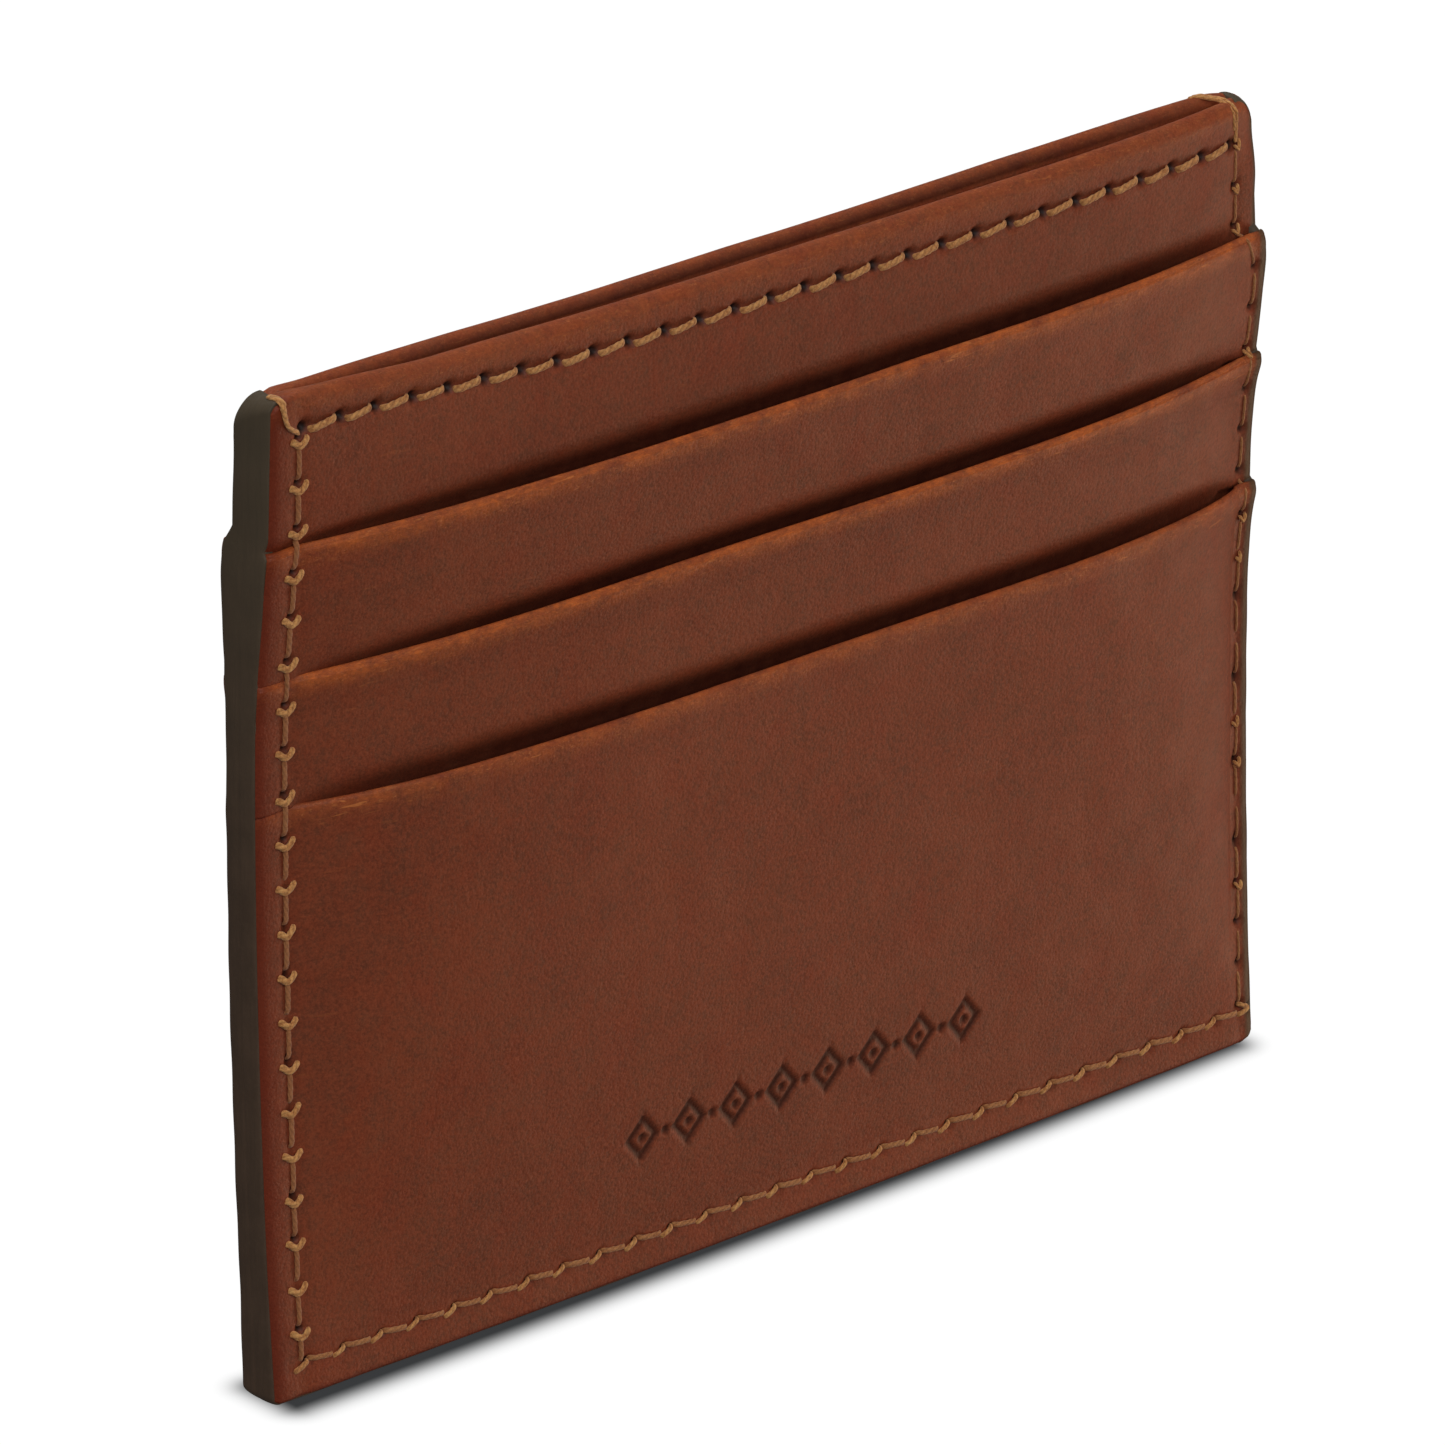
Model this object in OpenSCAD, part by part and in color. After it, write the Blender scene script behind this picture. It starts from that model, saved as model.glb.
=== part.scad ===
// Card holder: two flat leather halves sewn together round three sides.
// Each half is a lined panel with three stepped card pockets on its outer face,
// and a central pocket lies between the two halves.
// X runs along the mouths, Y through the thickness (the front face is at -Y), Z up.
// Every sheet of the front half is drawn between two level surfaces, where a level is the
// distance from the middle plane. The rear half is the front half mirrored.

/* [Overall] */
// Width across the painted side edges
holder_w = 100; // [98:1:106]
// Height from the bottom edge to the top edge
holder_h = 80; // [79:1:84]
// Radius of the two top corners
top_corner_r = 2.8; // [2.6:0.1:3.2]
// Radius of the two bottom corners
bottom_corner_r = 0.8; // [0.7:0.1:0.8]

/* [Leather and cloth] */
// Thickness of the panel leather
panel_t = 0.9; // [0.7:0.05:1.0]
// Thickness of the skived pocket leather
pocket_t = 0.6; // [0.5:0.05:0.8]
// Thickness of the lining cloth of the central pocket
lining_t = 0.15; // [0.1:0.05:0.3]
// Thickness of the cloth tail below a pocket strip
tail_t = 0.25; // [0.15:0.05:0.3]
// Thickness of the board bonded inside each half
board_t = 0.4; // [0.3:0.05:0.5]
// Thickness of the coat of paint on the cut edges
paint_t = 0.25; // [0.2:0.05:0.3]
// How far the paint wraps on to the two faces
paint_lap = 0.1; // [0.05:0.05:0.15]

/* [Pockets] */
// Drop from the top edge to the mouth of the upper pocket
first_mouth_drop = 11; // [10:0.5:12]
// Drop from one mouth to the next
mouth_pitch = 10.4; // [10:0.1:11]
// Depth of the turned top edge of each panel
hem_depth = 16.5; // [15:0.5:17]
// Half the width of the slot that a card slides in
slot_half_w = 43.4; // [43.2:0.1:43.6]
// Free space of each card slot
slot_gap = 0.8; // [0.6:0.05:0.9]
// Half of the free space of the central pocket at its sides
centre_gap = 0.45; // [0.4:0.05:0.6]
// Extra half gap in the middle of the central pocket's mouth
centre_bulge = 0.9; // [0.5:0.1:1.2]
// Height of the seam that closes the upper pocket at its base
upper_base = 21.5; // [21:0.5:22]
// Height of the seam that closes the middle pocket at its base
middle_base = 11.5; // [11:0.5:12]
// Depth of a pocket strip that is covered by the pocket below it
strip_cover = 3.1; // [3:0.1:3.2]

/* [Stitching] */
// Distance of the left and the bottom seam from the outer edge
seam_inset = 2.9; // [2.7:0.1:3.1]
// Distance of the right seam from the outer edge, which is trimmed closer
right_seam_inset = 2; // [1.8:0.1:3]
// Distance from one needle hole to the next
stitch_pitch = 3.4; // [3:0.1:3.8]
// Radius of the sewing thread
thread_r = 0.2; // [0.15:0.05:0.25]
// Length of a stitch as a share of the pitch
stitch_share = 0.8; // [0.7:0.05:0.9]
// Drop from the top edge to the top seam
top_seam_drop = 3.1; // [2.4:0.1:3.4]

/* [Hidden] */

// A hair of clearance between neighbouring sheets and parts
clear = 0.02;

// Heights of the three mouths
upper_mouth = holder_h - first_mouth_drop;
middle_mouth = upper_mouth - mouth_pitch;
lower_mouth = middle_mouth - mouth_pitch;

// Outline of the leather inside the coat of paint
edge_x = holder_w / 2 - paint_t;
base_z = paint_t;
top_z = holder_h - paint_t;
corner_x = holder_w / 2 - top_corner_r;
corner_z = holder_h - top_corner_r;
corner_r = top_corner_r - paint_t;

// The clamped border ends a little inside the seam, and a slot is fully open at slot_half_w
clamp_x = holder_w / 2 - seam_inset - 0.7;
ramp_x = (clamp_x + slot_half_w) / 2;
clamp_z = seam_inset + 1;
open_z = clamp_z + 3.5;

// Heights where the sheets below and behind a pocket begin and end
hem_step = 3;
board_low = open_z + 3;
board_high = holder_h - hem_depth - hem_step;
hem_low = holder_h - hem_depth;
middle_stem = lower_mouth - strip_cover;
upper_stem = middle_mouth - strip_cover;

// A tail ends a little below the seam at its base, and its slot opens just above that seam
foot_drop = 1;
middle_foot = middle_base - foot_drop;
upper_foot = upper_base - foot_drop;
gap_start = 1;
gap_full = 5;

// A sheet steps out over a tail's foot, and again where the thin tail meets its thicker strip
foot_step = 4;
stem_step_low = 2.6;
stem_step_high = 0.2;

// The central pocket begins to swell at this height, with this power across the width
bulge_low = 50;
swell_power = 3.6;

// Height where the rounding of the top corners begins to bend the rows
corner_foot = holder_h - 6;

// Space between a strip's flange and the mouth of the pocket below, and its least height
flange_gap = 0.2;
flange_h = 0.5;

// A seam's first stitch starts this far from the seam or slot that it meets
seam_end = 1.5;
base_seam_end = 2;
// Space below the stitches of the top seam, which span the panel's rounded face
top_seam_lift = 2 * clear;

// Rows of points up the lining, which ends under the hem, and up the panel
lining_rows = [base_z, clamp_z, open_z, board_low, bulge_low, board_high];
panel_rows = concat(lining_rows, [hem_low, upper_mouth, corner_foot, top_z]);

// Columns of points across the whole width, across a panel and across a tail
inner_col = 24;
outer_col = 36;
half_cols = [inner_col, outer_col, slot_half_w, ramp_x, clamp_x, edge_x];
corner_cols = [inner_col, outer_col, slot_half_w, ramp_x, clamp_x, corner_x,
               corner_x + 0.45 * corner_r, corner_x + 0.82 * corner_r, edge_x];
tail_cols = [inner_col, outer_col, slot_half_w - 0.1];

// Colours
leather_colour = [0.42, 0.21, 0.13];
cloth_colour = [0.30, 0.20, 0.14];
board_colour = [0.72, 0.62, 0.48];
thread_colour = [0.66, 0.44, 0.24];
paint_colour = [0.23, 0.18, 0.14];

// ---- Shape functions ------------------------------------------------------------------

// 0 below a, 1 above b and straight between them
function rise(v, a, b) = min(1, max(0, (v - a) / (b - a)));

// A list of columns on both sides of the middle
function both_sides(cols) = concat([for (i = [len(cols) - 1:-1:0]) -cols[i]], [0], cols);

// 1 over the card slots and 0 in the clamped border
function side(x) = rise(clamp_x - abs(x), 0, clamp_x - slot_half_w);

// The low swell of the middle of the mouths
function swell(x) = max(0, 1 - pow(abs(x) / clamp_x, swell_power));

// Share of the board, and of the hem, at a place
function board_share(x, z) = side(x) * rise(z, open_z, board_low) * (1 - rise(z, board_high, hem_low));
function hem_share(z) = rise(z, board_high, hem_low);

// Levels of the two faces of the lining and the panel
function lining_back(x, z) = side(x) * rise(z, clamp_z, open_z)
    * (centre_gap + centre_bulge * swell(x) * rise(z, bulge_low, top_z)) + clear;
function lining_face(x, z) = lining_back(x, z) + lining_t;
function board_back(x, z) = lining_face(x, z) + clear;
function panel_back(x, z) = lining_back(x, z) + (lining_t + clear) * (1 - hem_share(z))
    + (board_t + clear) * board_share(x, z);
function panel_face(x, z) = panel_back(x, z) + panel_t * (1 + hem_share(z));

// What the upper and the middle pocket add below a pocket in front of them
function slot_open(z, base) = slot_gap * rise(z, base + gap_start, base + gap_full);
function stem_add(z, stem) = (pocket_t - tail_t) * rise(z, stem - stem_step_low, stem - stem_step_high);
function upper_layer(z) = (tail_t + clear) * rise(z, upper_foot - foot_step, upper_foot)
    + slot_open(z, upper_base) + stem_add(z, upper_stem);
function middle_layer(z) = (tail_t + clear) * rise(z, open_z, board_low)
    + slot_open(z, middle_base) + stem_add(z, middle_stem);
function lower_layer(z) = slot_gap * rise(z, clamp_z, open_z);

// Levels of the backs of the three pockets
function upper_back(x, z) = panel_face(x, z) + clear + side(x) * slot_open(z, upper_base);
function middle_back(x, z) = panel_face(x, z) + clear
    + side(x) * (upper_layer(z) + slot_open(z, middle_base));
function lower_back(x, z) = panel_face(x, z) + clear
    + side(x) * (upper_layer(z) + middle_layer(z) + lower_layer(z));

// Level of a stitch of the top seam: it clears the panel at its middle and at both ends
function top_seam_level(x, z) = top_seam_lift + max(panel_face(x, z),
    panel_face(x - stitch_pitch * stitch_share / 2, z), panel_face(x + stitch_pitch * stitch_share / 2, z));

// Outer level of the clamped border, which the edge seam and the paint follow
function border_level(z) = panel_face(edge_x, z) + (z < upper_mouth ? pocket_t + clear : 0);

// Rounded top corners: rows near the top are drawn down to the corner's arc
function corner_drop(x) = abs(x) <= corner_x ? 0
    : corner_r - sqrt(max(0, pow(corner_r, 2) - pow(abs(x) - corner_x, 2)));
function round_top(x, z) = z - corner_drop(x) * rise(z, corner_foot, top_z);

// T-shaped strips: outside the card slot the two lowest rows are raised to the flange's edge
function raise_flange(x, z, stem, flange) = abs(x) <= slot_half_w ? z
    : z <= stem ? flange : max(z, flange + flange_h);

// ---- Building blocks ------------------------------------------------------------------

// A closed sheet between the levels back(x, z) and face(x, z) on a grid of columns and rows
module sheet(cols, rows, back, face, place = function(x, z) z) {
    n = len(cols);
    m = len(rows);
    front_points = [for (x = cols, r = rows) let (z = place(x, r)) [x, -face(x, z), z]];
    back_points = [for (x = cols, r = rows) let (z = place(x, r)) [x, -back(x, z), z]];
    function f(i, j) = i * m + j;
    function b(i, j) = n * m + i * m + j;
    faces = concat(
        [for (i = [0:n - 2], j = [0:m - 2]) [f(i, j), f(i, j + 1), f(i + 1, j + 1)]],
        [for (i = [0:n - 2], j = [0:m - 2]) [f(i, j), f(i + 1, j + 1), f(i + 1, j)]],
        [for (i = [0:n - 2], j = [0:m - 2]) [b(i, j), b(i + 1, j + 1), b(i, j + 1)]],
        [for (i = [0:n - 2], j = [0:m - 2]) [b(i, j), b(i + 1, j), b(i + 1, j + 1)]],
        [for (j = [0:m - 2]) [b(0, j), b(0, j + 1), f(0, j + 1), f(0, j)]],
        [for (j = [0:m - 2]) [f(n - 1, j), f(n - 1, j + 1), b(n - 1, j + 1), b(n - 1, j)]],
        [for (i = [0:n - 2]) [f(i, 0), f(i + 1, 0), b(i + 1, 0)]],
        [for (i = [0:n - 2]) [f(i, 0), b(i + 1, 0), b(i, 0)]],
        [for (i = [0:n - 2]) [f(i, m - 1), b(i, m - 1), b(i + 1, m - 1)]],
        [for (i = [0:n - 2]) [f(i, m - 1), b(i + 1, m - 1), f(i + 1, m - 1)]]);
    polyhedron(concat(front_points, back_points), faces);
}

// One stitch along X
module stitch() {
    rotate([0, 90, 0]) cylinder(h = stitch_pitch * stitch_share, r = thread_r, center = true, $fn = 16);
}

// A straight row of stitches along X between two places, lying on level(x, z)
module stitch_row(from_x, to_x, z, level) {
    count = floor((to_x - from_x) / stitch_pitch);
    for (i = [0:count - 1]) {
        x = (from_x + to_x) / 2 + (i - (count - 1) / 2) * stitch_pitch;
        translate([x, -level(x, z) - thread_r - clear, z]) stitch();
    }
}

// The seam down one side, round the bottom and up the other side
module perimeter_seam() {
    left_x = seam_inset - holder_w / 2;
    right_x = holder_w / 2 - right_seam_inset;
    count = floor((holder_h - 2 * seam_inset) / stitch_pitch);
    for (seam_x = [left_x, right_x], i = [0:count - 1]) {
        z = seam_inset + (i + 0.7) * stitch_pitch;
        low = border_level(z - stitch_pitch / 2);
        high = border_level(z + stitch_pitch / 2);
        level = max(low, high, border_level(z));
        translate([seam_x, -level - thread_r - clear, z]) rotate([0, 90, 0]) stitch();
    }
    stitch_row(left_x, right_x, seam_inset, function(x, z) border_level(z));
}

// A pocket strip with full-width flanges and a narrower stem
module pocket_strip(rows, stem, flange, back) {
    sheet(both_sides(half_cols), rows, back, function(x, z) back(x, z) + pocket_t,
          function(x, z) raise_flange(x, z, stem, flange));
}

// ---- Sub-parts of one half, drawn at the front ------------------------------------------

module panel() {
    color(leather_colour)
        sheet(both_sides(corner_cols), panel_rows,
              function(x, z) panel_back(x, z), function(x, z) panel_face(x, z),
              function(x, z) round_top(x, z));
}

module lining() {
    color(cloth_colour)
        sheet(both_sides(half_cols), lining_rows,
              function(x, z) lining_back(x, z), function(x, z) lining_face(x, z));
}

module stiffener() {
    color(board_colour)
        sheet(both_sides(tail_cols), [board_low, bulge_low, board_high],
              function(x, z) board_back(x, z), function(x, z) board_back(x, z) + board_t);
}

module pocket_upper() {
    color(leather_colour)
        pocket_strip([upper_stem, middle_mouth, board_high, hem_low, upper_mouth],
                     upper_stem, middle_mouth + flange_gap, function(x, z) upper_back(x, z));
}

module pocket_middle() {
    color(leather_colour)
        pocket_strip([middle_stem, lower_mouth, upper_stem - stem_step_low,
                      upper_stem - stem_step_high, middle_mouth],
                     middle_stem, lower_mouth + flange_gap, function(x, z) middle_back(x, z));
}

module pocket_lower() {
    color(leather_colour)
        sheet(both_sides(half_cols),
              [base_z, clamp_z, open_z, board_low, middle_base + gap_start, middle_base + gap_full,
               upper_foot, upper_base + gap_start, upper_base + gap_full,
               middle_stem - stem_step_low, middle_stem - stem_step_high, lower_mouth],
              function(x, z) lower_back(x, z), function(x, z) lower_back(x, z) + pocket_t);
}

module tail_upper() {
    color(cloth_colour)
        sheet(both_sides(tail_cols),
              [upper_foot, upper_base + gap_start, upper_base + gap_full, bulge_low, upper_stem],
              function(x, z) upper_back(x, z), function(x, z) upper_back(x, z) + tail_t);
}

module tail_middle() {
    color(cloth_colour)
        sheet(both_sides(tail_cols),
              [middle_foot, middle_base + gap_start, middle_base + gap_full, upper_foot,
               upper_base + gap_start, upper_base + gap_full, middle_stem],
              function(x, z) middle_back(x, z), function(x, z) middle_back(x, z) + tail_t);
}

module top_seam() {
    color(thread_colour)
        stitch_row(seam_inset + seam_end - holder_w / 2, holder_w / 2 - right_seam_inset - seam_end,
                   holder_h - top_seam_drop, function(x, z) top_seam_level(x, z));
}

module edge_seam() {
    color(thread_colour) perimeter_seam();
}

module base_seam_upper() {
    color(thread_colour)
        stitch_row(base_seam_end - slot_half_w, slot_half_w - base_seam_end, upper_base,
                   function(x, z) upper_back(x, z) + tail_t);
}

module base_seam_middle() {
    color(thread_colour)
        stitch_row(base_seam_end - slot_half_w, slot_half_w - base_seam_end, middle_base,
                   function(x, z) middle_back(x, z) + tail_t);
}

// ---- Paint on the cut edges of both halves ------------------------------------------------

// Outline of the coat on the left edge, from the bottom corner round the top corner
module side_coat() {
    straight_h = corner_z - bottom_corner_r;
    translate([-holder_w / 2, bottom_corner_r]) square([paint_t, straight_h]);
    intersection() {
        difference() {
            translate([-corner_x, corner_z]) circle(top_corner_r, $fn = 48);
            translate([-corner_x, corner_z]) circle(corner_r, $fn = 48);
        }
        translate([-holder_w / 2, corner_z - clear]) square(top_corner_r);
    }
    intersection() {
        difference() {
            translate([bottom_corner_r - holder_w / 2, bottom_corner_r]) circle(bottom_corner_r, $fn = 32);
            translate([-edge_x, base_z]) square(holder_w);
        }
        translate([-holder_w / 2, 0]) square([bottom_corner_r, bottom_corner_r + clear]);
    }
}

// The part of the side's coat from height low to height high, as deep as the border there
module coat_band(low, high, level) {
    rotate([90, 0, 0])
        linear_extrude(height = 2 * (level + paint_lap), center = true)
            intersection() {
                side_coat();
                translate([-holder_w, low]) square([holder_w, high - low]);
            }
}

module paint_left() {
    step_z = (board_high + hem_low) / 2;
    color(paint_colour) union() {
        coat_band(0, step_z, border_level(board_high));
        coat_band(step_z, upper_mouth, border_level(hem_low));
        coat_band(upper_mouth, holder_h, border_level(upper_mouth));
    }
}

module paint_bottom() {
    coat_w = holder_w - 2 * bottom_corner_r;
    coat_d = 2 * (border_level(clamp_z) + paint_lap);
    color(paint_colour) translate([-coat_w / 2, -coat_d / 2, 0]) cube([coat_w, coat_d, paint_t]);
}

// Mirrors the front half's piece to the rear
module rear() {
    mirror([0, 1, 0]) children();
}

panel();  // front_panel
pocket_upper();  // front_pocket_upper
pocket_middle();  // front_pocket_middle
pocket_lower();  // front_pocket_lower
tail_upper();  // front_pocket_tail_upper
tail_middle();  // front_pocket_tail_middle
lining();  // front_lining
stiffener();  // front_stiffener
top_seam();  // front_top_seam
edge_seam();  // front_perimeter_seam
base_seam_upper();  // front_base_seam_upper
base_seam_middle();  // front_base_seam_middle
rear() panel();  // rear_panel
rear() pocket_upper();  // rear_pocket_upper
rear() pocket_middle();  // rear_pocket_middle
rear() pocket_lower();  // rear_pocket_lower
rear() tail_upper();  // rear_pocket_tail_upper
rear() tail_middle();  // rear_pocket_tail_middle
rear() lining();  // rear_lining
rear() stiffener();  // rear_stiffener
rear() top_seam();  // rear_top_seam
rear() edge_seam();  // rear_perimeter_seam
rear() base_seam_upper();  // rear_base_seam_upper
rear() base_seam_middle();  // rear_base_seam_middle
paint_left();  // edge_paint_left
paint_bottom();  // edge_paint_bottom
mirror([1, 0, 0]) paint_left();  // edge_paint_right
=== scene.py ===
"""Leather card holder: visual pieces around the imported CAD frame.

Shapes are worked out in millimetres, and to_object turns them into metres.
"""

import math

import bmesh
import bpy
import numpy as np
from mathutils import Euler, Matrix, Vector


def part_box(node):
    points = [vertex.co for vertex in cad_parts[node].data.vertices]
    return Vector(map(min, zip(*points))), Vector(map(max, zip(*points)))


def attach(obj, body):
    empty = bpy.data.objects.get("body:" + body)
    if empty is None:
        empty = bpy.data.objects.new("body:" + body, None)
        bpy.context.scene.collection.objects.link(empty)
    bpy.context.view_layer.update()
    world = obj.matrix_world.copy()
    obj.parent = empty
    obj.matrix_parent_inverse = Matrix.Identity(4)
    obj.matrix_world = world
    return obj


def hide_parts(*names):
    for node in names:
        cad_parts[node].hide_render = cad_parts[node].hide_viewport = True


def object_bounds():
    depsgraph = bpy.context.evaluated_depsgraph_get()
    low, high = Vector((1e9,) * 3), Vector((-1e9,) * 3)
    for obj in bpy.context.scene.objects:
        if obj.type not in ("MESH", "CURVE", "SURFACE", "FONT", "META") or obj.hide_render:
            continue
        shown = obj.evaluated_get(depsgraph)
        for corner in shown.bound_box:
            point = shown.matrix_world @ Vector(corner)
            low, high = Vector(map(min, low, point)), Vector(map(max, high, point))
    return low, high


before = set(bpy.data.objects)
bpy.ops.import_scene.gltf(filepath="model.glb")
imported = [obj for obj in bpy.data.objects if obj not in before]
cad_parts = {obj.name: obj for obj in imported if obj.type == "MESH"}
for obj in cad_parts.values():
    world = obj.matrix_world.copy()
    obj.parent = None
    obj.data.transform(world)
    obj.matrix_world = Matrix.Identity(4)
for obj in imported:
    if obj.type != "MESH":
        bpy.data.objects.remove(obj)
cad_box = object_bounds()

MM = 0.001
FRONT = -1
REAR = 1


def box_mm(node):
    low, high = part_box(node)
    return np.array(low) / MM, np.array(high) / MM


# ---- Sizes, in millimetres ----------------------------------------------------------------

box_high = np.array(cad_box[1]) / MM
HALF_W = box_high[0]
TOP = box_high[2]
MOUTHS = {layer: box_mm("front_pocket_" + layer)[1][2] for layer in ("upper", "middle", "lower")}
UPPER_MOUTH = MOUTHS["upper"]
MIDDLE_MOUTH = MOUTHS["middle"]
LOWER_MOUTH = MOUTHS["lower"]
UPPER_BASE = box_mm("front_pocket_tail_upper")[0][2]
MIDDLE_BASE = box_mm("front_pocket_tail_middle")[0][2]
TAIL_HALF_W = box_mm("front_pocket_tail_upper")[1][0] - 0.3
BOARD_LOW = box_mm("front_stiffener")[0][2]
BOARD_HIGH = box_mm("front_stiffener")[1][2]
COAT = 0.28
EDGE = HALF_W - COAT
BASE = 0.3
LEFT = -1
RIGHT = 1
TOP_R = {(LEFT, FRONT): 0.9, (LEFT, REAR): 2.5, (RIGHT, FRONT): 2.4, (RIGHT, REAR): 1.9}
BOTTOM_R = {LEFT: 0.9, RIGHT: 1.6}
SEAM_INSET = 2.9
RIGHT_INSET = 1.5
LEFT_SEAM = SEAM_INSET - HALF_W
RIGHT_SEAM = HALF_W - RIGHT_INSET
BOTTOM_SEAM = SEAM_INSET
CLAMP_Z = 3.9
TOP_SEAM = TOP - 3.2
LEATHER = 0.6
PANEL = 0.9
STEM_HALF_W = 43.4
STEM_DROP = 3.1
LIP = 0.62
FOLD = 1.8
ROUNDING = 0.6
FOLD_RISE = ROUNDING * FOLD
HEM_LOW = 60.5
HEM_HIGH = 63.5
FINE_STEP = 0.22
WAVE_COUNT = 6
HOLE_WOBBLE = 0.06


# ---- Level functions: the distance of each layer from the middle surface -------------------

def ramp(value, low, high):
    t = np.clip((value - low) / (high - low), 0, 1)
    return t * t * (3 - 2 * t)


def bell(value, width):
    return np.exp(-(value / width) ** 2)


def waves(x, z, seed, size):
    """A smooth uneven surface from -1 to 1, with waves of about the given size."""
    rng = np.random.default_rng(seed)
    total = 0
    for _ in range(WAVE_COUNT):
        angle = rng.uniform(0, 2 * math.pi)
        pace = 2 * math.pi / (size * rng.uniform(0.6, 1.7))
        phase = rng.uniform(0, 2 * math.pi)
        total = total + np.sin(pace * (x * math.cos(angle) + z * math.sin(angle)) + phase)
    return total / WAVE_COUNT


def mid(x, z):
    """The bow of the whole holder: how far the middle surface lies towards the rear."""
    twist = 0.3 * x / HALF_W * (1 - ramp(z, 60, 72))
    return 1.15 * np.sin(math.pi * z / TOP) - 0.6 * (1 - (x / HALF_W) ** 2) - twist


def mid_at(x, z):
    return float(mid(np.asarray(float(x)), np.asarray(float(z))))


def spread_out(x, z):
    """The holder is a little wider where its pockets are."""
    return x * (1 + (0.0075 + 0.0025 * np.sign(x)) * (1 - ramp(z, 66, 70)))


def swell(x):
    """How freely a sheet stands off: 1 in the middle, 0 in the clamped border."""
    half = np.where(x < 0, 46.4, 47.4)
    power = np.where(x < 0, 3.6, 5.5)
    return np.clip(1 - np.abs(x / half) ** power, 0, 1)


def crest(x, side):
    """Height of the folded top edge, which rises a little to the left, the front one more so."""
    rise = 0.45 * ramp(-np.asarray(x), 12, 46)
    if side == FRONT:
        rise = rise + 0.7 * ramp(-np.asarray(x), 33, 47.5)
    return TOP + rise


def fold_power(x):
    """The fold is round, but pressed square at its left end."""
    return 1 - 0.62 * ramp(-np.asarray(x), 43.5, 48)


def mouth_line(layer, x):
    """Height of a pocket's mouth: the lower two sag a little, more so at the left."""
    sag = {"upper": 0.0, "middle": 0.15 - 0.2 * np.clip(x / 40, -1, 1) - 0.35 * bell(x + 10, 16),
           "lower": 0.4}
    return MOUTHS[layer] - sag[layer] + 0 * x


def dip(x, z, layer):
    """A sheet sinks inward just above the mouth of the pocket in front of it."""
    mouth = mouth_line(layer, x)
    return 0.8 * np.sqrt(swell(x)) * (1 - ramp(z, mouth - 0.8, mouth + 2.2))


def border(z):
    """Outer level of the stitched border with a pocket on it: it thickens over the hem."""
    return 1.8 + 0.2 * (1 - ramp(z, 0, 12)) + 0.72 * ramp(z, 54, 66)


def pressed(x, z):
    """The right top corner is pressed flat by the thread that goes over it."""
    return 0.9 * ramp(x, 46.5, 49.6) * ramp(z, TOP - 7, TOP - 1)


def edge_roll(x, z):
    """The cut edges are rolled over a little before the paint."""
    near = np.minimum(HALF_W - np.abs(x), z + 0.15)
    return 0.32 * np.clip((1.0 - near) / 1.0, 0, 1) ** 2


def panel_bulge(z, side):
    top = 0.35 if side == FRONT else 0.45
    return np.interp(z, [0, 10, 48, 60, UPPER_MOUTH, TOP], [0, 0.3, 1.0, 1.25, 1.5, top])


def panel_face(x, z, side):
    sunk = dip(x, z, "upper") * ramp(z, 58, 64)
    lean = 0.45 * np.clip(x / 40, -1, 1) * ramp(z, UPPER_MOUTH, TOP) * (side == FRONT)
    above = ramp(z, UPPER_MOUTH - 0.4, UPPER_MOUTH + 1.2)
    puff = 0.6 * (side == FRONT) * (x < 0) * (1 - swell(x)) * above
    level = border(z) - LEATHER + puff - pressed(x, z)
    return level + swell(x) * (panel_bulge(z, side) + lean) - sunk


def panel_thickness(x, z, side):
    outer = 1 - np.clip(1 - (np.abs(x) / 47) ** 1.6, 0, 1)
    extra = 0.5 * outer if side == FRONT else 0.4 - 0.8 * outer + 0.4 * np.clip(x / 40, -1, 1)
    return PANEL + (PANEL + extra) * ramp(z, HEM_LOW, HEM_HIGH)


def upper_face(x, z, side):
    bulge = np.interp(z, [55, MIDDLE_MOUTH, UPPER_MOUTH], [1.6, 1.65, 2.15])
    return border(z) + swell(x) * bulge - dip(x, z, "middle")


def middle_face(x, z, side):
    lean = 1 + 0.1 * np.sin(x / HALF_W * math.pi / 2)
    bulge = np.interp(z, [LOWER_MOUTH - 3, LOWER_MOUTH, MIDDLE_MOUTH], [2.1, 2.15, 2.77])
    return border(z) + swell(x) * bulge * lean - dip(x, z, "lower")


def lower_face(x, z, side):
    share = np.clip((z - CLAMP_Z) / (LOWER_MOUTH - CLAMP_Z), 0, 1)
    left_full = np.clip(1 - np.abs(x / 46.6) ** 6, 0, 1)
    right_full = np.clip(1 - np.abs(x / 47.7) ** 8, 0, 1) ** 0.6
    full = np.where(x < 0, left_full, right_full)
    across = swell(x) + (full - swell(x)) * (1 - 0.6 * ramp(z, 25, LOWER_MOUTH))
    across = across * (1 + 0.14 * np.clip(x / HALF_W, 0, 1) * ramp(z, 15, LOWER_MOUTH))
    return border(z) + across * 3.35 * (1 - (1 - share) ** 2.4)


FACES = {"upper": upper_face, "middle": middle_face, "lower": lower_face}
NEXT_DOWN = {"upper": "middle", "middle": "lower", "lower": None}


def right_seam(z):
    """The right seam runs further in on the panel than on the pockets."""
    return RIGHT_SEAM - 1.1 * ramp(z, UPPER_MOUTH - 0.6, UPPER_MOUTH + 1.0)


def seam_valley(x, z):
    """The border is pulled in along its seams."""
    depth = bell(x - LEFT_SEAM, 0.9) + bell(x - right_seam(z), 0.7)
    return 0.1 * depth + 0.1 * bell(z - BOTTOM_SEAM, 0.9) * (np.abs(x) < RIGHT_SEAM)


# ---- Stitch places ------------------------------------------------------------------------

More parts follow.
